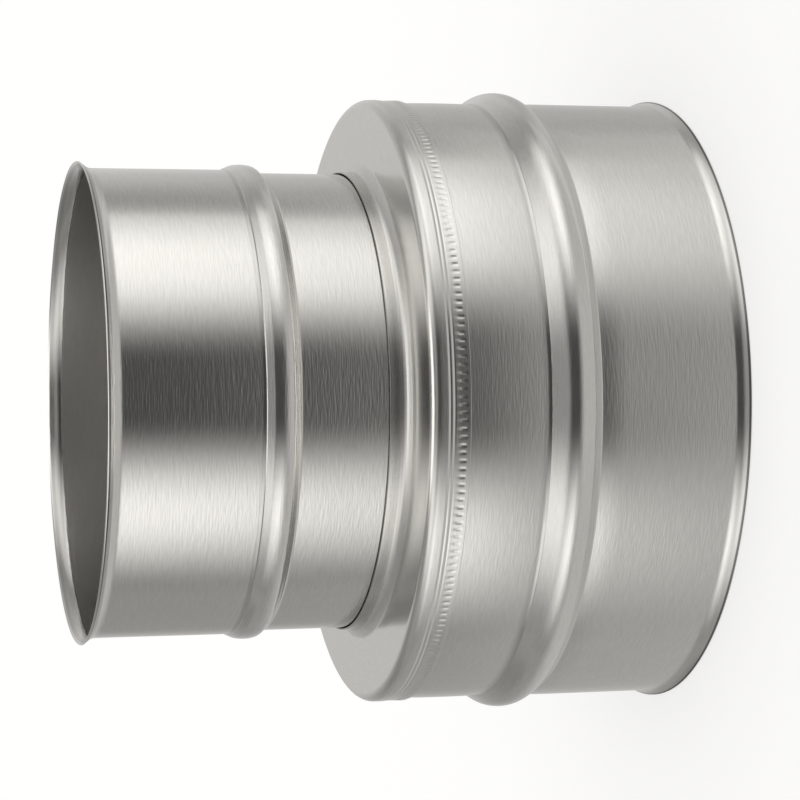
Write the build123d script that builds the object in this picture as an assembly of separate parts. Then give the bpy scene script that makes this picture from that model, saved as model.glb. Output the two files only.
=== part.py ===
from build123d import *
import math
import os

# Flue pipe adapter. A rolled steel reducer that takes a 150 mm flue pipe in its small socket and a
# 200 mm one in its large socket. It is three sheets: a small tube, a large tube, and a pressed plate
# between them whose collar holds the small tube and whose skirt is crimped over the large one.
# All sizes are millimetres. Z is the flue's axis. The large rim stands at Z = 0, the small end is up.

# Sheets
tube_sheet = 0.6
plate_sheet = 0.5

# Large tube, from its rim upwards
large_bore = 198.2              # inside diameter of the plain tube
large_socket_step = 0.3         # how much wider the socket is than the plain tube, in radius
large_flare_radius = 6.0        # roll radius of the rim's flare, on the outer skin
large_flare_angle = 45.0        # how far the rim turns out, in degrees
large_socket_length = 42.9      # straight wall between the flare and the bead
large_bead_height = 3.5         # crest of the stop bead above the socket
large_bead_foot = 0.8           # radius where the bead leaves the wall
large_bead_shoulder = 8.0       # radius between a flank of the bead and its crest
large_bead_crest = 9.0          # radius of the crest
large_bead_low_slope = 38.5     # slope of the flank below the crest, in degrees from the wall
large_bead_high_slope = 34.5    # slope of the flank above the crest
large_neck_length = 25.5        # plain wall between the bead and the plate's skirt

# Reducing plate, from its skirt upwards
seam_clearance = 0.09           # between the crimped skirt and the large tube
band_length = 4.45              # crimped band of the skirt
groove_count = 2                # rolled grooves between the band and the corner
groove_dip = 0.04               # how far a groove goes in from the wall below it
groove_rise = 0.14              # how far it comes out again
groove_lip = 3.4                # radius on the way into a groove
groove_root = 0.8               # radius of its bottom
groove_brow = 1.5               # radius on the way out
edge_length = 1.55              # straight wall between the grooves and the corner
corner_bend = 3.6               # outer radius of the plate's corner
collar_bend = 3.0               # radius between the plate and its collar
collar_length = 3.6             # straight wall of the collar
collar_clearance = 0.3          # between the collar and the small tube

# Crimp dents round the band
dent_pitch = 2.54               # spacing round the band
dent_length = 2.8               # along the flue's axis
dent_width = 1.5                # round the band
dent_depth = 0.2
dent_floor = 0.35               # share of the length and width that is left at the bottom
dent_from_edge = 2.25           # from the skirt's edge to the middle of the dents

# Small tube, from the collar upwards
small_bore = 150.0              # inside diameter of the plain tube
small_socket_step = 0.95        # how much wider the socket is than the plain tube, in radius
small_neck_length = 27.55       # plain wall between the collar and the bead
small_bead_height = 1.75        # crest of the stop bead above the socket
small_bead_foot = 0.6           # radius where the bead leaves the wall
small_bead_shoulder = 3.0       # radius between a flank of the bead and its crest
small_bead_crest = 12.0         # radius of the crest
small_bead_low_slope = 47.5     # slope of the flank below the crest, in degrees from the wall
small_bead_high_slope = 30.0    # slope of the flank above the crest
small_socket_length = 43.3      # straight wall between the bead and the flare
small_flare_radius = 4.5        # roll radius of the rim's flare, on the outer skin
small_flare_angle = 36.0        # how far the rim turns out, in degrees
small_flare_length = 2.3        # straight part of the flare

# Both beads
bead_crest_turn = 12.0          # degrees that a crest spans on each side of its top

# Outer radii of the walls
large_wall = large_bore / 2 + tube_sheet
large_socket_wall = large_wall + large_socket_step
small_wall = small_bore / 2 + tube_sheet
band_wall = large_wall + seam_clearance + plate_sheet
collar_wall = small_wall + collar_clearance + plate_sheet


class Skin:
    """Outer skin of a rolled sheet, drawn upwards in radius and height as runs and tangent bends."""

    def __init__(self, radius, height, heading=90.0):
        """Start the skin at a point, heading the given degrees round from the outward direction."""
        self.point = Vector(radius, height)
        self.heading = Vector(1, 0).rotate(Axis.Z, heading)
        self.edges = []

    def add(self, edge):
        """Carry the skin on along an edge."""
        self.edges.append(edge)
        self.point = edge @ 1
        self.heading = edge % 1

    def run(self, length):
        """Go straight on."""
        self.add(Line(self.point, self.point + self.heading * length))

    def bend(self, radius, angle):
        """Turn by the given degrees, towards the flue's axis where they are positive on a climb."""
        self.add(JernArc(self.point, self.heading, radius, angle))

    def bead(self, rise, fall, low_slope, high_slope, foot, shoulder, crest):
        """Roll a stop bead: foot, straight flank, shoulder and crest, and the same way down again."""
        self.bend(foot, -low_slope)
        self.run(flank_length(rise, low_slope, foot, shoulder, crest))
        self.bend(shoulder, low_slope - bead_crest_turn)
        self.bend(crest, 2 * bead_crest_turn)
        self.bend(shoulder, high_slope - bead_crest_turn)
        self.run(flank_length(fall, high_slope, foot, shoulder, crest))
        self.bend(foot, -high_slope)

    def groove(self):
        """Roll one groove of the plate's edge: a shallow way in, then a steeper and higher way out."""
        way_in = math.degrees(math.acos(1 - groove_dip / (groove_lip + groove_root)))
        way_out = math.degrees(math.acos(1 - groove_rise / (groove_root + groove_brow)))
        self.bend(groove_lip, way_in)
        self.bend(groove_root, -way_in - way_out)
        self.bend(groove_brow, way_out)

    def ring(self, sheet):
        """Lay a sheet on the skin's inner side and turn the section about the flue's axis."""
        outline = offset(Wire(self.edges), amount=sheet, side=Side.LEFT)
        return revolve(Plane.XZ * make_face(outline), Axis.Z)


def flank_length(height, slope, foot, shoulder, crest):
    """Length of a bead's straight flank, which makes up the height that its bends leave over."""
    slope_turn = math.radians(slope)
    flank_bends = (foot + shoulder) * (1 - math.cos(slope_turn))
    crest_bend = (crest - shoulder) * (1 - math.cos(math.radians(bead_crest_turn)))
    return (height - flank_bends - crest_bend) / math.sin(slope_turn)


def draw_large_skin():
    """The large tube's skin up to its neck: flared rim, socket and stop bead."""
    turn = math.radians(large_flare_angle)
    rim_wall = large_socket_wall + large_flare_radius * (1 - math.cos(turn))
    skin = Skin(rim_wall, tube_sheet * math.sin(turn), 90.0 + large_flare_angle)
    skin.bend(large_flare_radius, -large_flare_angle)
    skin.run(large_socket_length)
    skin.bead(
        rise=large_bead_height,
        fall=large_bead_height + large_socket_step,
        low_slope=large_bead_low_slope,
        high_slope=large_bead_high_slope,
        foot=large_bead_foot,
        shoulder=large_bead_shoulder,
        crest=large_bead_crest,
    )
    return skin


def build_reducing_plate(skirt_edge):
    """The plate: crimped skirt, grooved edge, flat ring and the collar round the small tube."""
    skin = Skin(band_wall, skirt_edge)
    skin.run(band_length)
    for _ in range(groove_count):
        skin.groove()
    skin.run(edge_length)
    corner_start = skin.point.Y
    skin.bend(corner_bend, 90.0)
    plate_face = skin.point.Y
    skin.run(skin.point.X - collar_wall - collar_bend)
    skin.bend(collar_bend, -90.0)
    skin.run(collar_length)
    plate = skin.ring(plate_sheet) - crimp_dents(skirt_edge)
    return plate, corner_start, plate_face, skin.point.Y


def crimp_dents(skirt_edge):
    """The dents that the crimping wheel presses into the skirt's band, as blunt wedges to cut."""
    count = round(2 * math.pi * band_wall / dent_pitch)
    height = skirt_edge + dent_from_edge
    skin_plane = Plane(origin=(band_wall, 0, height), x_dir=(0, 1, 0), z_dir=(-1, 0, 0))
    outer_share = 2 - dent_floor
    root = skin_plane.offset(-dent_depth) * Rectangle(dent_width * outer_share, dent_length * outer_share)
    tip = skin_plane.offset(dent_depth) * Rectangle(dent_width * dent_floor, dent_length * dent_floor)
    tooth = loft([root.face(), tip.face()])
    return [Rot(0, 0, step * 360.0 / count) * tooth for step in range(count)]


def build_small_tube(plate_face, collar_edge):
    """The small tube: plain wall held in the collar, stop bead, socket and flared rim."""
    skin = Skin(small_wall, plate_face - plate_sheet)
    skin.run(collar_edge + small_neck_length - skin.point.Y)
    skin.bead(
        rise=small_bead_height + small_socket_step,
        fall=small_bead_height,
        low_slope=small_bead_low_slope,
        high_slope=small_bead_high_slope,
        foot=small_bead_foot,
        shoulder=small_bead_shoulder,
        crest=small_bead_crest,
    )
    skin.run(small_socket_length)
    skin.bend(small_flare_radius, -small_flare_angle)
    skin.run(small_flare_length)
    return skin.ring(tube_sheet)


# The large tube ends inside the plate's corner, and the small one level with the plate's underside
large_skin = draw_large_skin()
skirt_edge = large_skin.point.Y + large_neck_length
reducing_plate, corner_start, plate_face, collar_edge = build_reducing_plate(skirt_edge)
large_skin.run(corner_start - large_skin.point.Y)
large_tube = large_skin.ring(tube_sheet)
small_tube = build_small_tube(plate_face, collar_edge)

os.makedirs("parts", exist_ok=True)
export_step(large_tube, "parts/large_tube.step")
export_step(reducing_plate, "parts/reducing_plate.step")
export_step(small_tube, "parts/small_tube.step")
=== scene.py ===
"""Dress the flue pipe adapter in bright rolled steel and set it before the photograph's camera.

The adapter is three sheets on one axis: a large tube that stands on its rim, a pressed plate whose skirt is
crimped over that tube, and a small tube in the plate's collar. Each sheet is drawn here as its outer skin,
a chain of straight runs and tangent bends in the plane of radius and height, given its thickness, and
turned about the flue's axis. Sizes of the sheets are millimetres, and Blender's own values are metres.
"""
import logging
import math
from abc import ABC, abstractmethod
from dataclasses import dataclass, field
from enum import Enum

import bpy
import numpy as np
from mathutils import Matrix, Vector


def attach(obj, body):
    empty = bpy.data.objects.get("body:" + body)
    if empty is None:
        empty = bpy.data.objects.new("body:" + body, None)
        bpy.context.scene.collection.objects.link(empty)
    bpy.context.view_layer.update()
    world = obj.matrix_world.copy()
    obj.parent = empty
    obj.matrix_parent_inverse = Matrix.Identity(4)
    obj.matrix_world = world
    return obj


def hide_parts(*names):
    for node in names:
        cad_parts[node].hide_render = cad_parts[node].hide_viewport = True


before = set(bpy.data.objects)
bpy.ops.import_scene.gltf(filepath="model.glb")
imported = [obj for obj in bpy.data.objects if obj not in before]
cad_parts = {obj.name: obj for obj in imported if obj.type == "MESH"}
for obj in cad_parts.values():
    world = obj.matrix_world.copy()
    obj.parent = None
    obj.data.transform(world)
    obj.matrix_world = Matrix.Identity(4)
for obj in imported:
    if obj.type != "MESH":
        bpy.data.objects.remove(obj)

LOG = logging.getLogger("flue_adapter")
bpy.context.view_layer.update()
MILLIMETRE = 0.001
TUBE_SHEET = 0.6
PLATE_SHEET = 0.5
SEED = 4036
SHEET_UV = "sheet"

# Headings of a skin's pen, in degrees round from the outward direction
UPWARD = 90.0
INWARD = 180.0


class Slot(Enum):
    """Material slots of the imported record."""

    ROLLED = "rolled_steel"
    PRESSED = "pressed_steel"


class Node(Enum):
    """CAD nodes that the dressed pieces stand for."""

    LARGE = "large_tube"
    PLATE = "reducing_plate"
    SMALL = "small_tube"


class Mark(Enum):
    """Values that each point of a sheet carries for its finish, its painted shade among them."""

    HATCH = "hatch"
    GRAIN = "grain"
    # Share of the steel's brightness that painted shade leaves, darkening creases, rims and the tubes'
    # insides
    TONE = "tone"
    DULL = "dull"


class MixKind(Enum):
    """What a Mix node blends: Blender's name of it, the places of its three inputs and that of its result.

    A Mix node has inputs for every kind of value under the same names, so they are found by their place.
    """

    NUMBER = ("FLOAT", (0, 2, 3), 0)
    COLOUR = ("RGBA", (0, 6, 7), 2)


@dataclass(frozen=True)
class BeadRoll:
    """Bends of a stop bead, with radii in millimetres and slopes in degrees from the wall.

    Attributes:
        low_slope: Slope of the flank below the crest.
        high_slope: Slope of the flank above the crest.
        foot: Radius where the lower flank leaves the wall.
        shoulder: Radius between a flank and the crest.
        crest: Radius of the crest.
        crest_turn: Degrees that the crest spans on each side of its top.
        pinch: Degrees that the wall below the bead leans in as it meets the foot.
        pinch_bend: Radius of that lean.
        lip_slope: Slope of the small lip that the roll's edge leaves at the upper foot.
        lip_length: Straight part of the lip.
        lip_brow: Radius between the upper flank and the lip.
        lip_root: Radius between the lip and the wall.
        lead_turn: Degrees that the wall above turns gently before the lip.
        lead_bend: Radius of that turn.
        lead_painted_shade: Share of the steel's brightness that painted shade leaves in the crease there.
        lean: Degrees that the wall above leans in on its way down to the bead.
        lean_bend: Radius of that lean.
    """

    low_slope: float
    high_slope: float
    foot: float
    shoulder: float
    crest: float
    pinch: float
    pinch_bend: float
    lip_slope: float
    lip_length: float
    lead_bend: float
    lean: float
    crest_turn: float = 12.0
    lip_brow: float = 0.7
    lip_root: float = 0.25
    lead_turn: float = 11.0
    lead_painted_shade: float = 0.8
    lean_bend: float = 450.0

    @staticmethod
    def _span(radius: float, start: float, end: float) -> float:
        """Return the height that a bend spans between two slopes."""
        return radius * abs(math.cos(math.radians(start)) - math.cos(math.radians(end)))

    def pinch_length(self) -> float:
        """Return the height along the wall that the lean below the bead takes."""
        return self.pinch_bend * math.sin(math.radians(self.pinch))

    def low_flank(self, rise: float) -> float:
        """Find the lower flank, which makes up the height that the bends leave over.

        Args:
            rise: Height of the crest above the wall below.

        Returns:
            The flank's length.
        """
        bends = self._span(self.foot, self.pinch, self.low_slope)
        bends += self._span(self.shoulder, self.low_slope, self.crest_turn)
        bends += self._span(self.crest, self.crest_turn, 0.0)
        depth = rise + self._span(self.pinch_bend, self.pinch, 0.0)
        return (depth - bends) / math.sin(math.radians(self.low_slope))

    def high_flank(self, fall: float) -> float:
        """Find the upper flank, which makes up the height that the bends and the lip leave over.

        Args:
            fall: Height of the crest above the wall above.

        Returns:
            The flank's length.
        """
        bends = self._span(self.crest, self.crest_turn, 0.0)
        bends += self._span(self.shoulder, self.high_slope, self.crest_turn)
        bends += self._span(self.lip_brow, self.lip_slope, self.high_slope)
        bends += self._span(self.lip_root, self.lip_slope, self.lead_turn)
        bends += self._span(self.lead_bend, self.lead_turn, self.lean)
        bends += self.lip_length * math.sin(math.radians(self.lip_slope))
        depth = fall + self._span(self.lean_bend, self.lean, 0.0)
        return (depth - bends) / math.sin(math.radians(self.high_slope))


@dataclass
class Skin:
    """Outer skin of a sheet, drawn upwards in radius and height as runs and tangent bends.

    Attributes:
        radius: Distance of the pen from the flue's axis.
        height: Height of the pen.
        heading: Degrees of the pen's travel, round from the outward direction.
        hatch: How strongly the next stretch carries tool marks across the sheet, from 0 to 1.
        grain: Height of the next stretch's rolling lines, as a multiple of the finish's own.
        tone: Share of the steel's brightness that painted shade leaves on the next stretch's outer side.
        inner_painted_shade: The same on its inner side.
        dull: How dull the next stretch is on its outer side, from 0 to 1.
        inner_dull: The same on its inner side.
        rows: Stretches drawn so far: each point's radius, height and heading, then the six values above.
    """

    radius: float
    height: float
    heading: float = UPWARD
    hatch: float = 0.0
    grain: float = 1.0
    tone: float = 1.0
    inner_painted_shade: float = 1.0
    dull: float = 0.0
    inner_dull: float = 1.0
    rows: list[np.ndarray] = field(default_factory=list)

    def __post_init__(self) -> None:
        """Lay down the first row."""
        self._extend(np.array([self.radius]), np.array([self.height]), np.array([self.heading]))

    def _extend(self, radii: np.ndarray, heights: np.ndarray, headings: np.ndarray) -> None:
        """Add a stretch of points and move the pen to its end.

        Args:
            radii: Distances from the axis.
            heights: Heights.
            headings: Degrees of travel at each point.
        """
        marks = [self.hatch, self.grain, self.tone, self.inner_painted_shade, self.dull, self.inner_dull]
        carried = np.broadcast_to(marks, (len(radii), len(marks)))
        self.rows.append(np.column_stack([radii, heights, headings, carried]))
        self.radius = float(radii[-1])
        self.height = float(heights[-1])
        self.heading = float(headings[-1])

    def run(self, length: float, steps: int = 1) -> None:
        """Go straight on.

        Args:
            length: How far.
            steps: Rows that the run is divided into.
        """
        share = np.arange(1, steps + 1) / steps * length
        turn = math.radians(self.heading)
        self._extend(
            self.radius + share * math.cos(turn),
            self.height + share * math.sin(turn),
            np.full(steps, self.heading),
        )

    def bend(self, radius: float, angle: float, steps: int = 8) -> None:
        """Turn along an arc, towards the axis where the angle is positive on a climb.

        Args:
            radius: Radius of the arc.
            angle: Degrees of turn.
            steps: Rows that the arc is divided into.
        """
        side = math.copysign(radius, angle)
        start = math.radians(self.heading)
        centre_r = self.radius - side * math.sin(start)
        centre_z = self.height + side * math.cos(start)
        headings = self.heading + np.arange(1, steps + 1) / steps * angle
        turn = np.radians(headings)
        self._extend(centre_r + side * np.sin(turn), centre_z - side * np.cos(turn), headings)

    def bead(self, roll: BeadRoll, rise: float, fall: float) -> None:
        """Roll a stop bead: pinched wall, foot, flank and crest, then flank, lip and lead to the next wall.

        Args:
            roll: Bends of the bead.
            rise: Height of the crest above the wall below the bead.
            fall: Height of the crest above the wall above the bead.
        """
        self.bend(roll.pinch_bend, roll.pinch, steps=6)
        self.bend(roll.foot, -roll.pinch - roll.low_slope, steps=6)
        self.hatch = 1.0
        self.run(roll.low_flank(rise), steps=3)
        self.bend(roll.shoulder, roll.low_slope - roll.crest_turn)
        self.bend(roll.crest, 2 * roll.crest_turn)
        self.bend(roll.shoulder, roll.high_slope - roll.crest_turn)
        self.run(roll.high_flank(fall), steps=3)
        self.hatch = 0.0
        self.bend(roll.lip_brow, roll.lip_slope - roll.high_slope, steps=4)
        self.run(roll.lip_length)
        # Painted shade in the crease between the lip and the wall above
        self.tone = roll.lead_painted_shade
        self.bend(roll.lip_root, roll.lead_turn - roll.lip_slope, steps=5)
        self.bend(roll.lead_bend, -roll.lead_turn - roll.lean, steps=6)
        self.tone = 1.0
        self.bend(roll.lean_bend, roll.lean, steps=6)

    def table(self) -> np.ndarray:
        """Return every row of the skin: radius, height and heading, then what the row carries."""
        return np.concatenate(self.rows)


@dataclass(frozen=True)
class CutEdge:
    """How a sheet's cut edge is rounded, and the painted shade on it.

    Attributes:
        bulge: Millimetres that its middle stands out from its corners.
        tone: Share of the steel's brightness that painted shade leaves on it.
    """

    bulge: float = 0.14
    tone: float = 1.0


@dataclass
class Section:
    """Closed section of a sheet: outer skin upwards, top edge, inner skin downwards, bottom edge.

    Attributes:
        radii: Distance of each row from the axis.
        heights: Height of each row.
        marks: What each row carries for the finish.
        outer_rows: How many of the rows, from the first, lie on the outer skin.
    """

    radii: np.ndarray
    heights: np.ndarray
    marks: dict[Mark, np.ndarray]
    outer_rows: int

    EDGE_STEPS = 7

    @classmethod
    def from_skin(
        cls, skin: Skin, sheet: float, low: CutEdge = CutEdge(), top: CutEdge = CutEdge()
    ) -> "Section":
        """Give a skin its thickness on the inner side, with both cut edges slightly rounded.

        The inner skin is the outer one moved in by the sheet along its own normal. Each edge is half an
        ellipse between the two skins, whose bulge is taken off their ends so that the length is kept.

        Args:
            skin: The outer skin.
            sheet: Thickness.
            low: The cut edge at its start.
            top: The cut edge at its end.

        Returns:
            The closed section.
        """
        radii, heights, headings, hatch, grain, tone, inner_painted_shade, dull, inner_dull = skin.table().T
        turn = np.radians(headings)
        along = np.stack([np.cos(turn), np.sin(turn)], axis=1)
        outward = np.stack([np.sin(turn), -np.cos(turn)], axis=1)
        outer = np.stack([radii, heights], axis=1)
        outer[0] += along[0] * low.bulge
        outer[-1] -= along[-1] * top.bulge
        inner = outer - outward * sheet
        sweep = np.linspace(0.0, math.pi, cls.EDGE_STEPS + 2)[1:-1, None]
        across = np.cos(sweep) * sheet / 2
        top_middle = (outer[-1] + inner[-1]) / 2
        top_rows = top_middle + across * outward[-1] + np.sin(sweep) * along[-1] * top.bulge
        low_middle = (outer[0] + inner[0]) / 2
        low_rows = low_middle - across * outward[0] - np.sin(sweep) * along[0] * low.bulge
        loop = np.concatenate([outer, top_rows, inner[::-1], low_rows])
        marks = {
            Mark.HATCH: cls._round_loop(hatch, 0.0, np.zeros_like(hatch), 0.0),
            Mark.GRAIN: cls._round_loop(grain, 1.0, np.ones_like(grain), 1.0),
            # Painted shade, carried round the loop from both skins and both cut edges
            Mark.TONE: cls._round_loop(tone, top.tone, inner_painted_shade, low.tone),
            Mark.DULL: cls._round_loop(dull, 0.0, inner_dull, 0.0),
        }
        return cls(loop[:, 0], loop[:, 1], marks, len(outer))

    @classmethod
    def _round_loop(cls, outer: np.ndarray, top: float, inner: np.ndarray, low: float) -> np.ndarray:
        """Carry a value round the section's loop.

        Args:
            outer: The value along the outer skin.
            top: The value on the top edge.
            inner: The value along the inner skin, upwards.
            low: The value on the bottom edge.

        Returns:
            The value of each row of the loop.
        """
        top_rows = np.full(cls.EDGE_STEPS, top)
        low_rows = np.full(cls.EDGE_STEPS, low)
        return np.concatenate([outer, top_rows, inner[::-1], low_rows])

    def lengths(self) -> np.ndarray:
        """Measure along the loop.

        Returns:
            Metres to each row, and to the first row again at the loop's end.
        """
        places = np.stack([self.radii, self.heights], axis=1)
        steps = np.linalg.norm(np.diff(places, axis=0, append=places[:1]), axis=1)
        return np.concatenate([[0.0], np.cumsum(steps)]) * MILLIMETRE


@dataclass
class Ring:
    """A grid of points round the axis, with its normals, ready to be joined into faces.

    Attributes:
        points: Rows by columns by three, in metres.
        normals: Unit normals of the points.
    """

    points: np.ndarray
    normals: np.ndarray

    START = math.pi / 2

    @classmethod
    def turn(cls, section: Section, columns: int, relief: np.ndarray) -> "Ring":
        """Turn a section about the flue's axis, from the side away from the camera round to it again.

        Point = (r cos a, r sin a, z), with r and z from the section's row and a from the column. The relief
        moves each point along the section's normal. Normals are the cross product of the differences
        round the axis and along the section.

        Args:
            section: The closed section.
            columns: Points round the axis.
            relief: Rows by columns, millimetres that each point stands out from the section.

        Returns:
            The grid.
        """
        angle = cls.START + np.arange(columns) / columns * 2 * math.pi
        along_r = np.roll(section.radii, -1) - np.roll(section.radii, 1)
        along_z = np.roll(section.heights, -1) - np.roll(section.heights, 1)
        size = np.hypot(along_r, along_z)
        radii = section.radii[:, None] + relief * (along_z / size)[:, None]
        heights = section.heights[:, None] - relief * (along_r / size)[:, None]
        points = np.stack([radii * np.cos(angle), radii * np.sin(angle), heights], axis=2) * MILLIMETRE
        across = np.roll(points, -1, axis=1) - np.roll(points, 1, axis=1)
        along = np.roll(points, -1, axis=0) - np.roll(points, 1, axis=0)
        normals = np.cross(across, along)
        normals /= np.linalg.norm(normals, axis=2, keepdims=True)
        return cls(points, normals)


class SheetMesh:
    """Joins grids of points into one closed mesh with its own UV, in metres round and along the sheet."""

    def __init__(self, girth: float) -> None:
        """Start with no points and no faces.

        Args:
            girth: Metres round the sheet.
        """
        self.girth = girth
        self.points: list[np.ndarray] = []
        self.normals: list[np.ndarray] = []
        self.marks: dict[Mark, list[np.ndarray]] = {mark: [] for mark in Mark}
        self.corners: list[np.ndarray] = []
        self.corner_uv: list[np.ndarray] = []
        self.sizes: list[np.ndarray] = []
        self.count = 0

    def add_rows(self, ring: Ring, rows: slice, section: Section) -> int:
        """Add some rows of a grid.

        Args:
            ring: The grid.
            rows: Which of its rows.
            section: The section that the grid was turned from.

        Returns:
            Index of the first point added.
        """
        first = self.count
        points = ring.points[rows]
        self.points.append(points.reshape(-1, 3))
        self.normals.append(ring.normals[rows].reshape(-1, 3))
        for mark in Mark:
            self.marks[mark].append(np.repeat(section.marks[mark][rows], points.shape[1]))
        self.count += points.shape[0] * points.shape[1]
        return first

    def _add_faces(self, corners: np.ndarray, uv: np.ndarray) -> None:
        """Add faces of one size.

        Args:
            corners: Faces by corners, indices of points.
            uv: Faces by corners by two.
        """
        self.corners.append(corners.reshape(-1))
        self.corner_uv.append(uv.reshape(-1, 2))
        self.sizes.append(np.full(len(corners), corners.shape[1]))

    def add_band(self, lower: int, upper: int, columns: int, along: tuple[float, float]) -> None:
        """Join two rows of one column count with quads.

        Args:
            lower: Index of the first point of the row that comes first along the section.
            upper: Index of the first point of the next row.
            columns: Points in each row.
            along: Metres along the section at the two rows.
        """
        column = np.arange(columns)
        beside = (column + 1) % columns
        corners = np.stack([lower + column, lower + beside, upper + beside, upper + column], axis=1)
        left = column / columns * self.girth
        right = (column + 1) / columns * self.girth
        across = np.stack([left, right, right, left], axis=1)
        height = np.broadcast_to([along[0], along[0], along[1], along[1]], across.shape)
        self._add_faces(corners, np.stack([across, height], axis=2))

    def add_bands(self, first: int, rows: int, columns: int, along: np.ndarray) -> None:
        """Join rows that follow each other, each to the next.

        Args:
            first: Index of the first point of the first row.
            rows: How many rows.
            columns: Points in each row.
            along: Metres along the section at each row.
        """
        for row in range(rows - 1):
            start = first + row * columns
            self.add_band(start, start + columns, columns, (along[row], along[row + 1]))

    def add_fan(
        self,
        coarse: int,
        fine: int,
        columns: int,
        ratio: int,
        along: tuple[float, float],
        coarse_first: bool,
    ) -> None:
        """Join a coarse row to a fine one with triangles.

        Each coarse column spans as many fine ones as the ratio. The first half of those reach for its left
        point and the rest for its right one, and one triangle closes the coarse edge.

        Args:
            coarse: Index of the first point of the coarse row.
            fine: Index of the first point of the fine row.
            columns: Points in the coarse row.
            ratio: Fine columns to each coarse one, an even number.
            along: Metres along the section at the coarse row and at the fine row.
            coarse_first: Whether the coarse row comes first along the section.
        """
        total = columns * ratio
        step = np.arange(total)
        owner = step // ratio + (step % ratio >= ratio // 2)
        base = np.arange(columns)
        middle = base * ratio + ratio // 2
        slim_places = np.stack([step / total, (step + 1) / total, owner / columns], axis=1)
        wide_places = np.stack([base / columns, (base + 1) / columns, middle / total], axis=1)
        slim_heights = np.broadcast_to([along[1], along[1], along[0]], slim_places.shape)
        wide_heights = np.broadcast_to([along[0], along[0], along[1]], wide_places.shape)
        slim = np.stack([fine + step, fine + (step + 1) % total, coarse + owner % columns], axis=1)
        wide = np.stack([coarse + base, coarse + (base + 1) % columns, fine + middle], axis=1)
        slim_uv = np.stack([slim_places * self.girth, slim_heights], axis=2)
        wide_uv = np.stack([wide_places * self.girth, wide_heights], axis=2)
        if coarse_first:
            slim, slim_uv = slim[:, ::-1], slim_uv[:, ::-1]
        else:
            wide, wide_uv = wide[:, ::-1], wide_uv[:, ::-1]
        self._add_faces(slim, slim_uv)
        self._add_faces(wide, wide_uv)

    def build(self, name: str) -> bpy.types.Object:
        """Make the mesh object.

        Args:
            name: Name of the piece.

        Returns:
            The object, linked to the scene, with its place in its mesh.
        """
        points = np.concatenate(self.points)
        corners = np.concatenate(self.corners)
        sizes = np.concatenate(self.sizes)
        mesh = bpy.data.meshes.new(name)
        mesh.vertices.add(len(points))
        mesh.vertices.foreach_set("co", points.ravel())
        mesh.loops.add(len(corners))
        mesh.loops.foreach_set("vertex_index", corners.astype(np.int32))
        mesh.polygons.add(len(sizes))
        starts = np.concatenate([[0], np.cumsum(sizes)[:-1]])
        mesh.polygons.foreach_set("loop_start", starts.astype(np.int32))
        mesh.polygons.foreach_set("use_smooth", np.ones(len(sizes), dtype=bool))
        layer = mesh.uv_layers.new(name=SHEET_UV)
        layer.uv.foreach_set("vector", np.concatenate(self.corner_uv).astype(np.float32).ravel())
        for mark in Mark:
            values = mesh.attributes.new(mark.value, "FLOAT", "POINT")
            values.data.foreach_set("value", np.concatenate(self.marks[mark]).astype(np.float32))
        mesh.update(calc_edges=True)
        mesh.normals_split_custom_set_from_vertices(np.concatenate(self.normals).tolist())
        piece = bpy.data.objects.new(name, mesh)
        bpy.context.scene.collection.objects.link(piece)
        return piece


class Waves:
    """Slight unevenness that rolling leaves in a sheet, as a sum of a few long waves."""

    COUNT = 7
    TURNS = (2, 15)
    LENGTHS = (25.0, 90.0)

    def __init__(self, seed: int, height: float) -> None:
        """Draw the waves.

        Args:
            seed: Seed of the draw.
            height: Millimetres that all waves reach together at most.
        """
        draw = np.random.default_rng(seed)
        self.turns = draw.integers(*self.TURNS, self.COUNT)
        self.lengths = draw.uniform(*self.LENGTHS, self.COUNT)
        self.phases = draw.uniform(0.0, 2 * math.pi, (self.COUNT, 2))
        self.height = height / self.COUNT

    def relief(self, heights: np.ndarray, columns: int) -> np.ndarray:
        """Add the waves up.

        Each is sin(turns * angle + phase) * sin(2 pi * height / length + phase), and all are equally high.

        Args:
            heights: Height of each row.
            columns: Points round the axis.

        Returns:
            Rows by columns, millimetres that each point is moved.
        """
        angle = np.arange(columns) / columns * 2 * math.pi
        round_axis = np.sin(self.turns[:, None] * angle + self.phases[:, :1])
        along_axis = np.sin(heights / self.lengths[:, None] * 2 * math.pi + self.phases[:, 1:])
        return np.einsum("kr,kc->rc", along_axis, round_axis) * self.height


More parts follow.
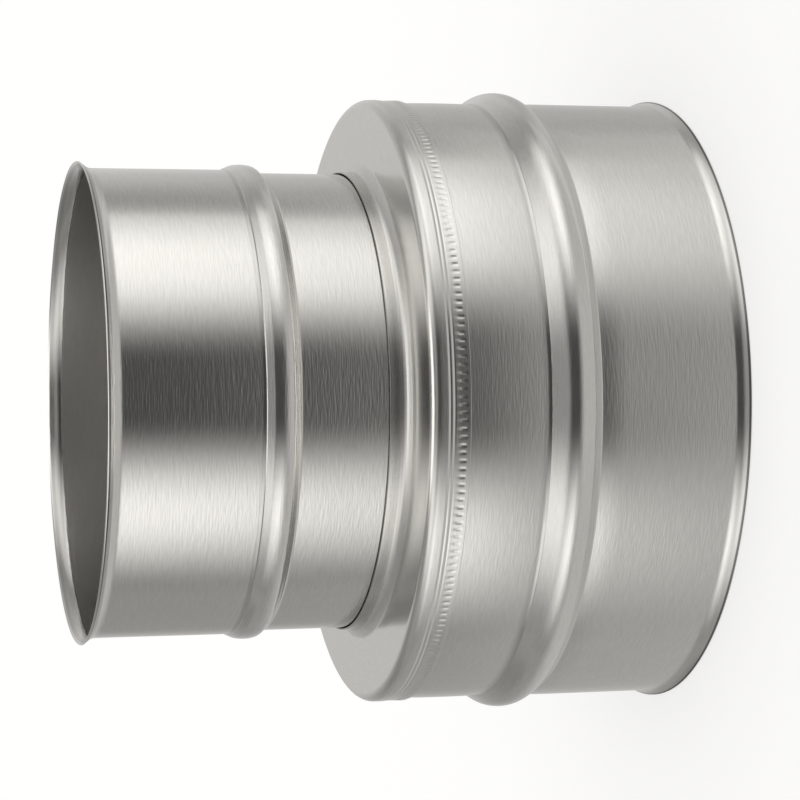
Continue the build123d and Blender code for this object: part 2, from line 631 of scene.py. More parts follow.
class Nodes:
    """Adds nodes to a tree, with plain numbers set on sockets and other sockets linked."""

    def __init__(self, tree: bpy.types.NodeTree) -> None:
        """Take the tree and empty it.

        Args:
            tree: Node tree of a material or of the world.
        """
        self.tree = tree
        tree.nodes.clear()

    def add(self, kind: str, **settings: object) -> bpy.types.Node:
        """Add a node.

        Args:
            kind: Blender's name of the node without its first word, such as Math.
            settings: Properties of the node.

        Returns:
            The node.
        """
        node = self.tree.nodes.new("ShaderNode" + kind)
        for name, value in settings.items():
            setattr(node, name, value)
        return node

    def feed(self, socket: bpy.types.NodeSocket, value: object) -> None:
        """Link a socket's value to an input, or set a plain value on it.

        Args:
            socket: The input.
            value: Another node's output, or a plain value.
        """
        if isinstance(value, bpy.types.NodeSocket):
            self.tree.links.new(value, socket)
        else:
            socket.default_value = value

    def math(self, operation: str, *values: object) -> bpy.types.NodeSocket:
        """Add a calculation.

        Args:
            operation: Blender's name of the operation.
            values: Its inputs, as outputs of other nodes or as numbers.

        Returns:
            The result.
        """
        node = self.add("Math", operation=operation)
        for socket, value in zip(node.inputs, values):
            self.feed(socket, value)
        return node.outputs["Value"]

    def step(
        self,
        value: bpy.types.NodeSocket,
        ends: tuple[float, float],
        result: tuple[float, float] = (0.0, 1.0),
    ) -> bpy.types.NodeSocket:
        """Add a smooth step.

        Args:
            value: What it is a step in.
            ends: Values where it starts and stops.
            result: What it gives there.

        Returns:
            The step's value.
        """
        node = self.add("MapRange", interpolation_type="SMOOTHSTEP")
        for name, number in zip(("From Min", "From Max", "To Min", "To Max"), ends + result):
            node.inputs[name].default_value = number
        self.feed(node.inputs["Value"], value)
        return node.outputs["Result"]

    def blend(
        self, share: bpy.types.NodeSocket, low: object, high: object, kind: MixKind = MixKind.NUMBER
    ) -> bpy.types.NodeSocket:
        """Go from one value to another.

        Args:
            share: How far, from 0 to 1.
            low: Value at 0.
            high: Value at 1.
            kind: What the values are.

        Returns:
            The value between.
        """
        data_type, places, result = kind.value
        node = self.add("Mix", data_type=data_type)
        for place, value in zip(places, (share, low, high)):
            self.feed(node.inputs[place], value)
        return node.outputs[result]


@dataclass(frozen=True)
class SteelFinish:
    """A bright steel sheet with fine lines along the way it was rolled.

    Attributes:
        slot: Slot of the record that the finish is for.
        roughness: Roughness of the clean sheet.
        spread: How much wider the sheen is across the rolling lines, from 0 to 1.
        line_relief: Height of the rolling lines in metres.
        hatch_shade: How much the tool marks change the colour.
        hatch_relief: Height of the tool marks in metres.
        scuff: How much rougher the scuffed patches are.
        dull: How much rougher the sheet's dull stretches are.
        line_shade: How much the rolling lines change the colour.
        colour: Reflected colour.
    """

    slot: Slot
    roughness: float
    spread: float
    line_relief: float
    hatch_shade: float
    hatch_relief: float
    scuff: float
    dull: float = 0.15
    line_shade: float = 0.03
    colour: tuple[float, float, float] = (0.742, 0.735, 0.715)

    # Cells of each noise for a metre, its octaves, and the values between which the lines shade the colour
    LINES_ROUND = 200.0
    LINES_ALONG = 1700.0
    LINES_DETAIL = 1.5
    LINES_SPAN = (0.25, 0.75)
    HATCH_ROUND = 1400.0
    HATCH_ALONG = 260.0
    HATCH_DETAIL = 2.0
    SCUFF_SCALE = 38.0
    SCUFF_DETAIL = 4.0
    NOISE_MIDDLE = 0.5

    def material(self) -> bpy.types.Material:
        """Build the procedural material.

        Returns:
            The material.
        """
        material = bpy.data.materials.new(self.slot.value)
        material.use_nodes = True
        nodes = Nodes(material.node_tree)
        steel = nodes.add("BsdfPrincipled")
        steel.inputs["Metallic"].default_value = 1.0
        steel.inputs["Anisotropic"].default_value = self.spread
        tangent = nodes.add("Tangent", direction_type="UV_MAP", uv_map=SHEET_UV)
        nodes.feed(steel.inputs["Tangent"], tangent.outputs["Tangent"])
        lines = self._noise(nodes, self.LINES_ROUND, self.LINES_ALONG, self.LINES_DETAIL)
        hatch = self._noise(nodes, self.HATCH_ROUND, self.HATCH_ALONG, self.HATCH_DETAIL)
        centred = nodes.math("SUBTRACT", hatch, self.NOISE_MIDDLE)
        marks = nodes.math("MULTIPLY", centred, self._carried(nodes, Mark.HATCH))
        nodes.feed(steel.inputs["Base Color"], self._shade(nodes, lines, marks))
        nodes.feed(steel.inputs["Roughness"], self._roughen(nodes, lines))
        nodes.feed(steel.inputs["Normal"], self._emboss(nodes, lines, marks))
        output = nodes.add("OutputMaterial")
        nodes.feed(output.inputs["Surface"], steel.outputs["BSDF"])
        return material

    def _noise(self, nodes: Nodes, across: float, along: float, detail: float) -> bpy.types.NodeSocket:
        """Add a noise that runs round the sheet without a break and is stretched one way.

        Its place is (x * across, y * across, v * along), with v the metres along the section.

        Args:
            nodes: Nodes of the material.
            across: Cells for each metre round the sheet.
            along: Cells for each metre along the section.
            detail: Octaves of the noise.

        Returns:
            Its value, from 0 to 1.
        """
        place = nodes.add("TexCoord")
        flat = nodes.add("SeparateXYZ")
        nodes.feed(flat.inputs["Vector"], place.outputs["Object"])
        sheet = nodes.add("UVMap", uv_map=SHEET_UV)
        unrolled = nodes.add("SeparateXYZ")
        nodes.feed(unrolled.inputs["Vector"], sheet.outputs["UV"])
        joined = nodes.add("CombineXYZ")
        nodes.feed(joined.inputs["X"], nodes.math("MULTIPLY", flat.outputs["X"], across))
        nodes.feed(joined.inputs["Y"], nodes.math("MULTIPLY", flat.outputs["Y"], across))
        nodes.feed(joined.inputs["Z"], nodes.math("MULTIPLY", unrolled.outputs["Y"], along))
        noise = nodes.add("TexNoise")
        noise.inputs["Scale"].default_value = 1.0
        noise.inputs["Detail"].default_value = detail
        nodes.feed(noise.inputs["Vector"], joined.outputs["Vector"])
        return noise.outputs["Fac"]

    def _carried(self, nodes: Nodes, mark: Mark) -> bpy.types.NodeSocket:
        """Return what the sheet's points carry for the finish."""
        return nodes.add("Attribute", attribute_name=mark.value).outputs["Fac"]

    def _shade(
        self, nodes: Nodes, lines: bpy.types.NodeSocket, marks: bpy.types.NodeSocket
    ) -> bpy.types.NodeSocket:
        """Let the rolling lines, the tool marks and the painted shade of each stretch change the colour.

        Args:
            nodes: Nodes of the material.
            lines: Rolling lines, from 0 to 1.
            marks: Tool marks, centred on nought.

        Returns:
            The colour.
        """
        bright = (1.0 - self.line_shade, 1.0 + self.line_shade)
        streaks = nodes.step(lines, self.LINES_SPAN, bright)
        hatched = nodes.math("MULTIPLY_ADD", marks, self.hatch_shade, streaks)
        # Painted shade: the colour is darkened by each stretch's share of brightness
        with_painted_shade = nodes.math("MULTIPLY", hatched, self._carried(nodes, Mark.TONE))
        colour = nodes.add("VectorMath", operation="SCALE")
        colour.inputs[0].default_value = self.colour
        nodes.feed(colour.inputs["Scale"], with_painted_shade)
        return colour.outputs["Vector"]

    def _roughen(self, nodes: Nodes, lines: bpy.types.NodeSocket) -> bpy.types.NodeSocket:
        """Let scuffed patches, rolling lines and the dull stretches change the roughness.

        Args:
            nodes: Nodes of the material.
            lines: Rolling lines, from 0 to 1.

        Returns:
            The roughness.
        """
        place = nodes.add("TexCoord")
        patches = nodes.add("TexNoise")
        patches.inputs["Scale"].default_value = self.SCUFF_SCALE
        patches.inputs["Detail"].default_value = self.SCUFF_DETAIL
        nodes.feed(patches.inputs["Vector"], place.outputs["Object"])
        worn = nodes.math("MULTIPLY", patches.outputs["Fac"], lines)
        scuffed = nodes.math("MULTIPLY_ADD", worn, self.scuff, self.roughness)
        return nodes.math("MULTIPLY_ADD", self._carried(nodes, Mark.DULL), self.dull, scuffed)

    def _emboss(
        self, nodes: Nodes, lines: bpy.types.NodeSocket, marks: bpy.types.NodeSocket
    ) -> bpy.types.NodeSocket:
        """Give the rolling lines and tool marks their slight relief.

        Args:
            nodes: Nodes of the material.
            lines: Rolling lines, from 0 to 1.
            marks: Tool marks, centred on nought.

        Returns:
            The normal.
        """
        bump = nodes.add("Bump")
        bump.inputs["Strength"].default_value = 1.0
        bump.inputs["Distance"].default_value = self.line_relief
        centred = nodes.math("SUBTRACT", lines, self.NOISE_MIDDLE)
        grain = nodes.math("MULTIPLY", centred, self._carried(nodes, Mark.GRAIN))
        height = nodes.math("MULTIPLY_ADD", marks, self.hatch_relief / self.line_relief, grain)
        nodes.feed(bump.inputs["Height"], height)
        return bump.outputs["Normal"]


class DressedSheet:
    """What the three sheets share: a name, a finish and a place on the frame.

    Attributes:
        NODE: The CAD node that the sheet stands for.
    """

    NODE: Node

    def piece_name(self) -> str:
        """Return the name of the dressed piece."""
        return "dressed_" + self.NODE.value

    def dress(
        self, piece: bpy.types.Object, finish: SteelFinish, steel: bpy.types.Material
    ) -> bpy.types.Object:
        """Give the piece its finish and hang it on the frame in place of its node.

        Args:
            piece: The bare piece.
            finish: Its finish, not used.
            steel: The finish's material.

        Returns:
            The same piece.
        """
        piece.data.materials.append(steel)
        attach(piece, "root")
        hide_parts(self.NODE.value)
        return piece


class RolledTube(DressedSheet, ABC):
    """What the two tubes share: a section that is turned with equal columns in every row.

    Attributes:
        columns: Points round the axis.
        unevenness: Millimetres that the waves of the rolled wall reach.
        seed: Seed of the waves.
    """

    columns: int
    unevenness: float
    seed: int

    @abstractmethod
    def section(self) -> Section:
        """Return the tube's closed section."""

    def build(self, finish: SteelFinish, steel: bpy.types.Material) -> bpy.types.Object:
        """Build the piece.

        Args:
            finish: Its finish.
            steel: The finish's material.

        Returns:
            The dressed piece.
        """
        section = self.section()
        waves = Waves(self.seed, self.unevenness)
        ring = Ring.turn(section, self.columns, waves.relief(section.heights, self.columns))
        along = section.lengths()
        total = len(section.radii)
        mesh = SheetMesh(2 * math.pi * float(section.radii[0]) * MILLIMETRE)
        first = mesh.add_rows(ring, slice(0, total), section)
        mesh.add_bands(first, total, self.columns, along)
        last = first + (total - 1) * self.columns
        mesh.add_band(last, first, self.columns, (along[total - 1], along[total]))
        return self.dress(mesh.build(self.piece_name()), finish, steel)


@dataclass
class LargeTube(RolledTube):
    """The large tube: flared rim, socket, stop bead and the plain wall inside the skirt.

    Attributes:
        wall: Outer radius of the plain wall.
        socket_step: How much wider the socket is, in radius.
        flare_radius: Roll radius of the rim's flare.
        flare_angle: Degrees that the rim turns out.
        bead_start: Height where the socket meets the bead's foot.
        bead_height: Height of the bead's crest above the socket.
        bead: Bends of the bead.
        neck_bend: Radius of the wall above the bead, which is slightly barrelled.
        neck_turn: Degrees that it turns in.
        top: Height of the hidden end.
        rim: Cut edge of the rim, darkened by painted shade that stands in for the shadowed floor it
            reflects.
        rim_turn: Degrees of the flare, from the rim, that carry the same painted shade as the cut edge.
    """

    NODE = Node.LARGE

    wall: float = 99.7
    socket_step: float = 0.3
    flare_radius: float = 6.0
    flare_angle: float = 45.0
    bead_start: float = 47.567
    bead_height: float = 3.5
    bead: BeadRoll = BeadRoll(
        low_slope=38.5,
        high_slope=34.5,
        foot=0.8,
        shoulder=8.0,
        crest=9.0,
        pinch=3.5,
        pinch_bend=130.0,
        lip_slope=44.0,
        lip_length=0.06,
        lead_bend=6.0,
        lean=1.2,
    )
    neck_bend: float = 450.0
    neck_turn: float = 1.6
    top: float = 97.895
    # Painted shade on the rim's cut edge: a dark line for the shadowed floor that it reflects
    rim: CutEdge = CutEdge(tone=0.3)
    rim_turn: float = 4.5
    columns: int = 320
    unevenness: float = 0.06
    seed: int = SEED

    def section(self) -> Section:
        """Draw the outer skin from the rim up, and give it its thickness.

        Returns:
            The closed section.
        """
        turn = math.radians(self.flare_angle)
        rim_wall = self.wall + self.socket_step + self.flare_radius * (1 - math.cos(turn))
        rim_height = TUBE_SHEET * math.sin(turn)
        # The rim's painted shade also darkens the first degrees of the flare
        skin = Skin(rim_wall, rim_height, UPWARD + self.flare_angle, tone=self.rim.tone)
        skin.bend(self.flare_radius, -self.rim_turn, steps=2)
        skin.tone = 1.0
        skin.bend(self.flare_radius, self.rim_turn - self.flare_angle, steps=14)
        skin.run(self.bead_start - self.bead.pinch_length() - skin.height, steps=18)
        skin.bead(self.bead, self.bead_height, self.bead_height + self.socket_step)
        skin.bend(self.neck_bend, self.neck_turn)
        skin.run((self.top - skin.height) / math.cos(math.radians(self.neck_turn)), steps=6)
        return Section.from_skin(skin, TUBE_SHEET, low=self.rim)


@dataclass
class SmallTube(RolledTube):
    """The small tube: plain wall in the collar, stop bead, socket and flared rim.

    Attributes:
        bottom: Height of the hidden end.
        wall: Outer radius of the plain wall.
        socket_step: How much wider the socket is, in radius.
        bead_start: Height where the plain wall meets the bead's foot.
        bead_height: Height of the bead's crest above the socket.
        bead: Bends of the bead.
        socket_top: Height where the flare starts.
        flare_radius: Roll radius of the flare.
        flare_angle: Degrees that it turns out.
        flare_painted_shade: Share of brightness that painted shade leaves on its straight part outside.
        flare_bend_painted_shade: The same on its bend inside.
        flare_inner_painted_shade: The same on its straight part inside.
        inner_painted_shade: The same on the inner wall below it.
        rim: Cut edge of the rim.
        rim_bend: Radius at which the rim curls out beyond the flare.
        rim_turn: Degrees of that curl.
        rim_painted_shade: Share of brightness that painted shade leaves on the curl outside, a dark line
            along the rim.
        rim_length: Length of the flare's straight part.
        grain: Height of the rolling lines, as a multiple of the finish's own.
        joint: Height of the collar's edge, where the painted shade of the gap between the collar and the
            tube starts.
        joint_shade_line: Width of that painted shade.
        joint_painted_shade: Share of brightness that it leaves.
    """

    NODE = Node.SMALL

    bottom: float = 100.995
    wall: float = 75.6
    socket_step: float = 0.95
    bead_start: float = 135.23
    bead_height: float = 1.75
    bead: BeadRoll = BeadRoll(
        low_slope=47.5,
        high_slope=24.0,
        foot=1.6,
        shoulder=3.0,
        crest=12.0,
        pinch=0.3,
        pinch_bend=130.0,
        lip_slope=54.0,
        lip_length=0.15,
        lead_bend=4.5,
        lean=0.4,
    )
    socket_top: float = 190.22
    flare_radius: float = 4.5
    flare_angle: float = 36.0
    flare_painted_shade: float = 0.65
    flare_bend_painted_shade: float = 0.8
    flare_inner_painted_shade: float = 0.7
    inner_painted_shade: float = 0.88
    rim: CutEdge = CutEdge(bulge=0.1)
    rim_bend: float = 4.3
    rim_turn: float = 12.0
    rim_painted_shade: float = 0.2
    rim_length: float = 1.4
    grain: float = 1.5
    joint: float = 108.095
    joint_shade_line: float = 0.2
    joint_painted_shade: float = 0.1
    columns: int = 288
    unevenness: float = 0.06
    seed: int = SEED + 1

    def section(self) -> Section:
        """Draw the outer skin from the hidden end up, and give it its thickness.

        Returns:
            The closed section.
        """
        # Painted shade darkens the inside of the tube
        skin = Skin(self.wall, self.bottom, grain=self.grain, inner_painted_shade=self.inner_painted_shade)
        skin.run(self.joint - self.bottom, steps=3)
        # Painted shade on the wall just above the collar's edge, for the shadowed gap between the collar
        # and the tube
        skin.tone = self.joint_painted_shade
        skin.run(self.joint_shade_line, steps=2)
        skin.tone = 1.0
        skin.run(self.joint_shade_line)
        skin.run(self.bead_start - self.bead.pinch_length() - skin.height, steps=14)
        skin.bead(self.bead, self.bead_height + self.socket_step, self.bead_height)
        skin.run(self.socket_top - skin.height, steps=18)
        # Painted shade inside and outside the flare and on the rim's curl, darkening their reflections
        skin.inner_painted_shade = self.flare_bend_painted_shade
        skin.inner_dull = 0.0
        skin.bend(self.flare_radius, -self.flare_angle)
        skin.inner_painted_shade = self.flare_inner_painted_shade
        skin.tone = self.flare_painted_shade
        skin.run(self.rim_length, steps=3)
        skin.tone = self.rim_painted_shade
        skin.inner_painted_shade = 1.0
        skin.bend(self.rim_bend, -self.rim_turn, steps=4)
        return Section.from_skin(skin, TUBE_SHEET, top=self.rim)


@dataclass
class ReducingPlate(DressedSheet):
    """The plate: crimped skirt, grooved edge, rounded corner, flat ring and collar.

    The dents are on fine columns, a whole number to each coarse column of the rest of the plate.

    Attributes:
        skirt_edge: Height of the skirt's lower edge.
        band_wall: Outer radius at the top of the crimped band.
        band_length: Height of the band.
        band_lean: Degrees that the band leans in on its way up.
        band_bend: Radius of the slight bends at the ends of the grooves.
        groove_count: Rolled grooves above the band.
        groove_dip: How far a groove goes in from the wall below it.
        groove_rise: How far it comes out again.
        groove_lip: Radius on the way into a groove.
        groove_root: Radius of its bottom.
        groove_brow: Radius on the way out.
        edge_lean: Degrees that the wall above the grooves leans in.
        corner_bend: Outer radius of the corner.
        plate_face: Height of the flat ring.
        collar_wall: Outer radius of the collar.
        collar_edge: Height of its free edge.
        collar_bends: Radius and degrees of each arc between the flat ring and the collar.
        collar_dull: How dull those arcs are.
        collar_rim: Cut edge of the collar, whose highlight is dimmed by painted shade.
        dent_count: Dents round the band.
        dent_length: Length of a dent along the axis.
        dent_length_range: Least and most of it, as shares.
        dent_width: Width of a dent round the band.
        dent_depth: Depth of a dent.
        dent_depth_range: Least and most of it, as shares.
        dent_top: Height of the dents' upper ends above the skirt's edge.
        dent_ends: Power that says how suddenly a dent comes out at its ends.
        dent_shift: How far a dent may be off its place, as a share of the pitch.
        dent_seed: Seed of the dents.
        columns: Coarse points round the axis.
        ratio: Fine points to each coarse one, an even number.
        unevenness: Millimetres that the waves of the plate reach.
        seed: Seed of the waves.
    """

    NODE = Node.PLATE

    skirt_edge: float = 89.158
    band_wall: float = 100.2
    band_length: float = 4.45
    band_lean: float = 2.4
    band_bend: float = 20.0
    groove_count: int = 2
    groove_dip: float = 0.04
    groove_rise: float = 0.14
    groove_lip: float = 3.4
    groove_root: float = 0.8
    groove_brow: float = 1.5
    edge_lean: float = 1.0
    corner_bend: float = 3.1
    plate_face: float = 101.495
    collar_wall: float = 76.4
    collar_edge: float = 108.095
    collar_bends: tuple[tuple[float, float], ...] = ((1.5, 30.0), (10.0, 12.0), (2.2, 48.0))
    collar_dull: float = 0.8
    # Painted shade dims the collar's cut edge
    collar_rim: CutEdge = CutEdge(bulge=0.28, tone=0.6)
    dent_count: int = 260
    dent_length: float = 2.6
    dent_length_range: tuple[float, float] = (0.9, 1.1)
    dent_width: float = 1.5
    dent_depth: float = 0.11
    dent_depth_range: tuple[float, float] = (0.75, 1.15)
    dent_top: float = 3.75
    dent_ends: float = 2.6
    dent_shift: float = 0.06
    dent_seed: int = SEED + 2
    columns: int = 260
    ratio: int = 10
    unevenness: float = 0.03
    seed: int = SEED + 3

    def skin(self) -> tuple[Skin, int]:
        """Draw the outer skin from the skirt's edge up.

        Returns:
            The skin, and how many of its rows lie on the crimped band.
        """
        way_in = self._groove_turn(self.groove_dip, self.groove_lip)
        way_out = self._groove_turn(self.groove_rise, self.groove_brow)
        lean = math.radians(self.band_lean)
        run_length = (self.band_length - self.band_bend * math.sin(lean)) / math.cos(lean)
        inset = run_length * math.sin(lean) + self.band_bend * (1 - math.cos(lean))
        skin = Skin(self.band_wall + inset, self.skirt_edge, UPWARD + self.band_lean)
        skin.run(run_length, steps=14)
        skin.bend(self.band_bend, -self.band_lean, steps=1)
        band_rows = len(skin.table())
        for _ in range(self.groove_count):
            skin.bend(self.groove_lip, way_in, steps=3)
            skin.bend(self.groove_root, -way_in - way_out, steps=5)
            skin.bend(self.groove_brow, way_out, steps=4)
        skin.bend(self.band_bend, self.edge_lean, steps=1)
        edge_lean = math.radians(self.edge_lean)
        edge_top = self.plate_face - self.corner_bend * (1 - math.sin(edge_lean))
        skin.run((edge_top - skin.height) / math.cos(edge_lean), steps=2)
        skin.bend(self.corner_bend, INWARD - skin.heading, steps=10)
        skin.run(skin.radius - self.collar_wall - self._collar_width(), steps=8)
        skin.dull = self.collar_dull
        for radius, turn in self.collar_bends:
            skin.bend(radius, -turn, steps=5)
        skin.dull = 0.0
        skin.hatch = 1.0
        skin.run(self.collar_edge - skin.height, steps=3)
        return skin, band_rows

    def _groove_turn(self, depth: float, bend: float) -> float:
        """Return the degrees that one side of a groove turns, from its depth and its outer bend."""
        return math.degrees(math.acos(1 - depth / (self.groove_root + bend)))

    def _collar_width(self) -> float:
        """Measure how far the arcs between the flat ring and the collar reach out from the collar's wall.

        Returns:
            The width.
        """
        width = 0.0
        heading = INWARD
        for radius, turn in self.collar_bends:
            ends = np.sin(np.radians([heading, heading - turn]))
            width += radius * float(ends[1] - ends[0])
            heading -= turn
        return width

    def dents(self, section: Section, columns: int) -> np.ndarray:
        """Press the crimp dents into the band.

        Round the band a dent is (1 - x * x) squared, with x from -1 to 1 across its width. Along the axis
        it is 1 less the size of y to the power of dent_ends, with y from -1 to 1 along its length, so that
        its floor is level in the middle and comes out near both ends.

        Args:
            section: Section of the plate.
            columns: Points round the axis.

        Returns:
            Rows by columns, millimetres that each point is moved.
        """
        draw = np.random.default_rng(self.dent_seed)
        depth = self.dent_depth * draw.uniform(*self.dent_depth_range, self.dent_count)
        shift = draw.uniform(-self.dent_shift, self.dent_shift, self.dent_count)
        reach = self.dent_length * draw.uniform(*self.dent_length_range, self.dent_count)
        pitch = 2 * math.pi * self.band_wall / self.dent_count
        place = np.arange(columns) / columns * self.dent_count
        index = place.astype(int)
        across = (place - index - 0.5 + shift[index]) * pitch / (self.dent_width / 2)
        hollow = np.clip(1 - across * across, 0.0, None) ** 2
        top = self.skirt_edge + self.dent_top
        down = np.clip((top - section.heights[:, None]) / reach[index][None, :], 0.0, 1.0)
        fade = 1 - np.abs(2 * down - 1) ** self.dent_ends
        outer = (np.arange(len(section.radii)) < section.outer_rows)[:, None]
        return -depth[index] * hollow * fade * outer

    def build(self, finish: SteelFinish, steel: bpy.types.Material) -> bpy.types.Object:
        """Build the piece: fine columns on the crimped band and its lower edge, coarse ones on the rest.

        Args:
            finish: Its finish.
            steel: The finish's material.

        Returns:
            The dressed piece.
        """
        skin, band_rows = self.skin()
        section = Section.from_skin(skin, PLATE_SHEET, top=self.collar_rim)
        waves = Waves(self.seed, self.unevenness)
        fine_columns = self.columns * self.ratio
        fine_relief = waves.relief(section.heights, fine_columns) + self.dents(section, fine_columns)
        fine = Ring.turn(section, fine_columns, fine_relief)
        coarse = Ring.turn(section, self.columns, waves.relief(section.heights, self.columns))
        along = section.lengths()
        total = len(section.radii)
        low = total - Section.EDGE_STEPS
        mesh = SheetMesh(2 * math.pi * self.band_wall * MILLIMETRE)
        band = mesh.add_rows(fine, slice(0, band_rows), section)
        edge = mesh.add_rows(fine, slice(low, total), section)
        rest = mesh.add_rows(coarse, slice(band_rows, low), section)
        mesh.add_bands(band, band_rows, fine_columns, along)
        mesh.add_bands(edge, Section.EDGE_STEPS, fine_columns, along[low:])
        mesh.add_bands(rest, low - band_rows, self.columns, along[band_rows:])
        last_edge = edge + (Section.EDGE_STEPS - 1) * fine_columns
        mesh.add_band(last_edge, band, fine_columns, (along[total - 1], along[total]))
        last_band = band + (band_rows - 1) * fine_columns
        upper = (along[band_rows], along[band_rows - 1])
        mesh.add_fan(rest, last_band, self.columns, self.ratio, upper, coarse_first=False)
        last_rest = rest + (low - band_rows - 1) * self.columns
        lower = (along[low - 1], along[low])
        mesh.add_fan(last_rest, edge, self.columns, self.ratio, lower, coarse_first=True)
        return self.dress(mesh.build(self.piece_name()), finish, steel)


@dataclass(frozen=True)
class LightPanel:
    """A soft light of the studio as polished metal sees it, or a dark card where its strength is negative.

    Attributes:
        rise: Azimuths between which it grows from dark to full, in degrees from the camera's side.
        fade: Azimuths between which it falls from full to dark.
        foot: Elevations between which it grows from dark to full, downwards where the second is lower.
        strength: Brightness at its middle, near the horizon.
    """

    rise: tuple[float, float]
    fade: tuple[float, float]
    foot: tuple[float, float]
    strength: float


@dataclass(frozen=True)
class Studio:
    """Plain pale studio: a white background and floor, and soft lights that only reflections see.

    Attributes:
        panels: The upright lights round the object.
        head: Share of their brightness that they keep higher up.
        gap: Brightness of the room on the camera's side.
        loft: Brightness of the same side higher up.
        loft_end: Share of that brightness which is left below the light above.
        room: Brightness of the room on the other sides.
        back: Brightness that the wall behind the object adds.
        ground: Brightness of the floor in reflections.
        overhead: Brightness of the light above.
        fill: Brightness of the even light on the floor.
        floor_shade: How much of that light the floor gives back.
    """

    panels: tuple[LightPanel, ...]
    head: float
    gap: float
    loft: float
    loft_end: float
    room: float
    back: float
    ground: float
    overhead: float
    fill: float
    floor_shade: float

    # Degrees between which one part of the room gives way to the next: the first two round from the
    # camera's side, the others above the horizon
    SIDE = (60.0, 110.0)
    BACK = (146.0, 174.0)
    GROUND = (-32.0, -7.0)
    HEAD = (-8.0, 28.0)
    LOFT = (18.0, 40.0)
    LOFT_END = (52.0, 66.0)
    CEILING = (65.0, 77.0)
    TINT = (1.01, 1.0, 0.97, 1.0)
    WHITE = (1.0, 1.0, 1.0, 1.0)
    FLOOR_HALF = 8.0

    def build(self) -> None:
        """Build the world and the floor."""
        self._world()
        self._floor()

    def _room(
        self, nodes: Nodes, azimuth: bpy.types.NodeSocket, height: bpy.types.NodeSocket
    ) -> bpy.types.NodeSocket:
        """Work out the brightness of the room by direction.

        Args:
            nodes: Nodes of the world.
            azimuth: Degrees round from the camera's side.
            height: Degrees above the horizon.

        Returns:
            The brightness.
        """
        swing = nodes.math("ABSOLUTE", azimuth)
        raised = nodes.step(height, self.LOFT, (self.gap, self.loft))
        front = nodes.math("MULTIPLY", raised, nodes.step(height, self.LOFT_END, (1.0, self.loft_end)))
        sides = nodes.blend(nodes.step(swing, self.SIDE), front, self.room)
        behind = nodes.step(swing, self.BACK, (0.0, self.back))
        walls = nodes.math("ADD", sides, behind)
        bright = nodes.blend(nodes.step(height, self.GROUND), self.ground, walls)
        head = nodes.step(height, self.HEAD, (1.0, self.head))
        for panel in self.panels:
            light = nodes.step(azimuth, panel.rise, (0.0, panel.strength))
            light = nodes.math("MULTIPLY", light, nodes.step(azimuth, panel.fade, (1.0, 0.0)))
            light = nodes.math("MULTIPLY", light, nodes.step(height, panel.foot))
            bright = nodes.math("MULTIPLY_ADD", light, head, bright)
        return nodes.blend(nodes.step(height, self.CEILING), bright, self.overhead)

    def _world(self) -> None:
        """Build the world: white to the camera, even to the floor, and the room to polished metal."""
        world = bpy.data.worlds.new("studio")
        bpy.context.scene.world = world
        world.use_nodes = True
        nodes = Nodes(world.node_tree)
        place = nodes.add("TexCoord")
        parts = nodes.add("SeparateXYZ")
        nodes.feed(parts.inputs["Vector"], place.outputs["Generated"])
        toward = nodes.math("MULTIPLY", parts.outputs["Y"], -1.0)
        azimuth = nodes.math("DEGREES", nodes.math("ARCTAN2", parts.outputs["X"], toward))
        height = nodes.math("DEGREES", nodes.math("ARCSINE", parts.outputs["Z"]))
        path = nodes.add("LightPath")
        seen = nodes.blend(path.outputs["Is Glossy Ray"], self.fill, self._room(nodes, azimuth, height))
        shown = nodes.blend(path.outputs["Is Camera Ray"], seen, 1.0)
        background = nodes.add("Background")
        colour = nodes.blend(path.outputs["Is Camera Ray"], self.TINT, self.WHITE, MixKind.COLOUR)
        nodes.feed(background.inputs["Color"], colour)
        nodes.feed(background.inputs["Strength"], shown)
        output = nodes.add("OutputWorld")
        nodes.feed(output.inputs["Surface"], background.outputs["Background"])

    def _floor(self) -> None:
        """Lay the pale floor that the large rim stands on, with the object's shadow kept."""
        half = self.FLOOR_HALF
        mesh = bpy.data.meshes.new("floor")
        corners = [(-half, -half, 0.0), (half, -half, 0.0), (half, half, 0.0), (-half, half, 0.0)]
        mesh.from_pydata(corners, [], [(0, 1, 2, 3)])
        floor = bpy.data.objects.new("floor", mesh)
        bpy.context.scene.collection.objects.link(floor)
        floor.visible_glossy = False
        material = bpy.data.materials.new("pale_floor")
        material.use_nodes = True
        nodes = Nodes(material.node_tree)
        matte = nodes.add("BsdfDiffuse")
        matte.inputs["Color"].default_value = (*[self.floor_shade] * 3, 1.0)
        glow = nodes.add("Emission")
        path = nodes.add("LightPath")
        lift = nodes.math("MULTIPLY", path.outputs["Is Camera Ray"], 1.0 - self.floor_shade * self.fill)
        nodes.feed(glow.inputs["Strength"], lift)
        both = nodes.add("AddShader")
        nodes.feed(both.inputs[0], matte.outputs["BSDF"])
        nodes.feed(both.inputs[1], glow.outputs["Emission"])
        output = nodes.add("OutputMaterial")
        nodes.feed(output.inputs["Surface"], both.outputs["Shader"])
        mesh.materials.append(material)


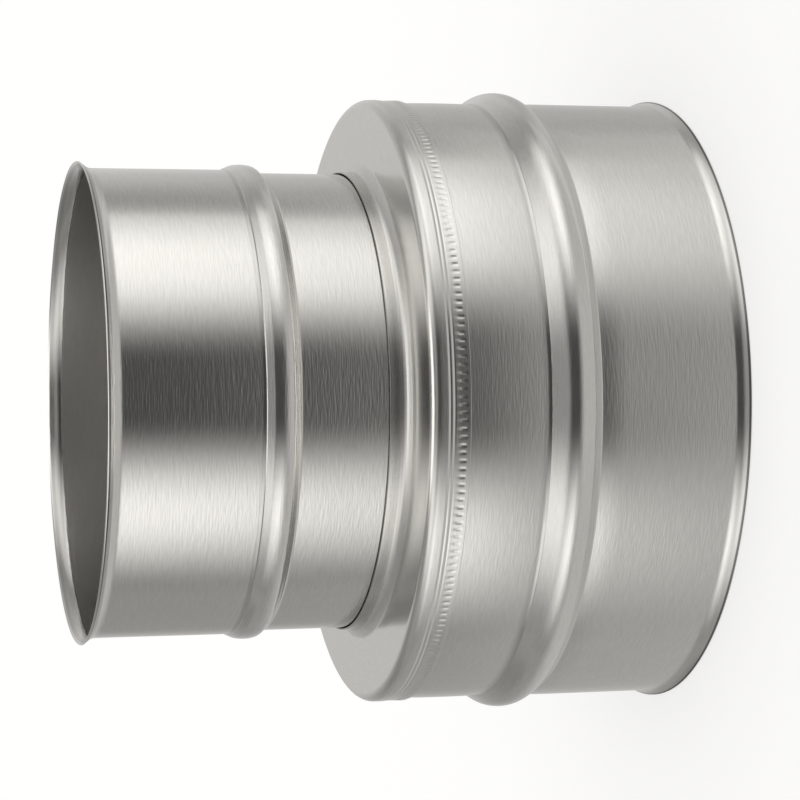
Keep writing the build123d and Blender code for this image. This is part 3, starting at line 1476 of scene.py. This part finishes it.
@dataclass(frozen=True)
class PhotoCamera:
    """The photograph's camera, turned on its side because the photograph shows the flue lying down.

    Attributes:
        place: Where it stands, in metres.
        right: Direction of the picture's right.
        up: Direction of the picture's top.
        lens: Focal length in millimetres.
        sensor: Width of the sensor in millimetres.
    """

    place: tuple[float, float, float] = (0.0018939, -0.8321814, 0.298518)
    right: tuple[float, float, float] = (-0.00776667, -0.2478663, -0.96876311)
    up: tuple[float, float, float] = (0.99996776, 0.00004905, -0.00802939)
    lens: float = 114.672
    sensor: float = 36.0

    def build(self) -> bpy.types.Object:
        """Make the camera and set it as the scene's.

        Returns:
            The camera.
        """
        data = bpy.data.cameras.new("photo_camera")
        data.lens = self.lens
        data.sensor_width = self.sensor
        camera = bpy.data.objects.new("photo_camera", data)
        right = Vector(self.right)
        up = Vector(self.up)
        turn = Matrix((right, up, right.cross(up))).transposed().to_4x4()
        camera.matrix_world = Matrix.Translation(self.place) @ turn
        bpy.context.scene.collection.objects.link(camera)
        bpy.context.scene.camera = camera
        return camera


def main() -> None:
    """Build the pieces in order, then the studio and the camera."""
    logging.basicConfig(level=logging.INFO, format="%(name)s: %(message)s")
    rolled = SteelFinish(
        slot=Slot.ROLLED,
        roughness=0.12,
        spread=0.3,
        line_relief=2.0e-5,
        hatch_shade=0.06,
        hatch_relief=2.0e-6,
        scuff=0.08,
    )
    pressed = SteelFinish(
        slot=Slot.PRESSED,
        roughness=0.14,
        spread=0.2,
        line_relief=1.2e-5,
        hatch_shade=0.12,
        hatch_relief=3.0e-6,
        scuff=0.1,
    )
    rolled_steel = rolled.material()
    pressed_steel = pressed.material()
    pieces = (
        LargeTube().build(rolled, rolled_steel),
        ReducingPlate().build(pressed, pressed_steel),
        SmallTube().build(rolled, rolled_steel),
    )
    for piece in pieces:
        triangles = len(piece.data.loops) - 2 * len(piece.data.polygons)
        LOG.info("%s: %d triangles", piece.name, triangles)
    studio = Studio(
        panels=(
            LightPanel(rise=(20.0, 63.0), fade=(72.0, 118.0), foot=(-32.0, -4.0), strength=1.06),
            LightPanel(rise=(30.0, 70.0), fade=(100.0, 107.0), foot=(-32.0, -4.0), strength=0.2),
            LightPanel(rise=(-101.5, -55.0), fade=(-52.0, -8.0), foot=(-27.0, -4.0), strength=1.24),
            LightPanel(rise=(94.0, 110.0), fade=(118.0, 131.0), foot=(-10.0, -16.0), strength=0.12),
            LightPanel(rise=(108.0, 146.0), fade=(150.0, 180.0), foot=(-24.0, -4.0), strength=0.28),
            LightPanel(rise=(-150.0, -138.0), fade=(-124.0, -110.0), foot=(-6.0, 20.0), strength=-0.12),
        ),
        head=0.6,
        gap=0.07,
        loft=0.32,
        loft_end=0.45,
        room=0.34,
        back=0.26,
        ground=0.55,
        overhead=1.45,
        fill=0.9,
        floor_shade=0.5,
    )
    studio.build()
    PhotoCamera().build()
    bpy.context.scene.view_settings.view_transform = "Standard"


if __name__ == "__main__":
    main()
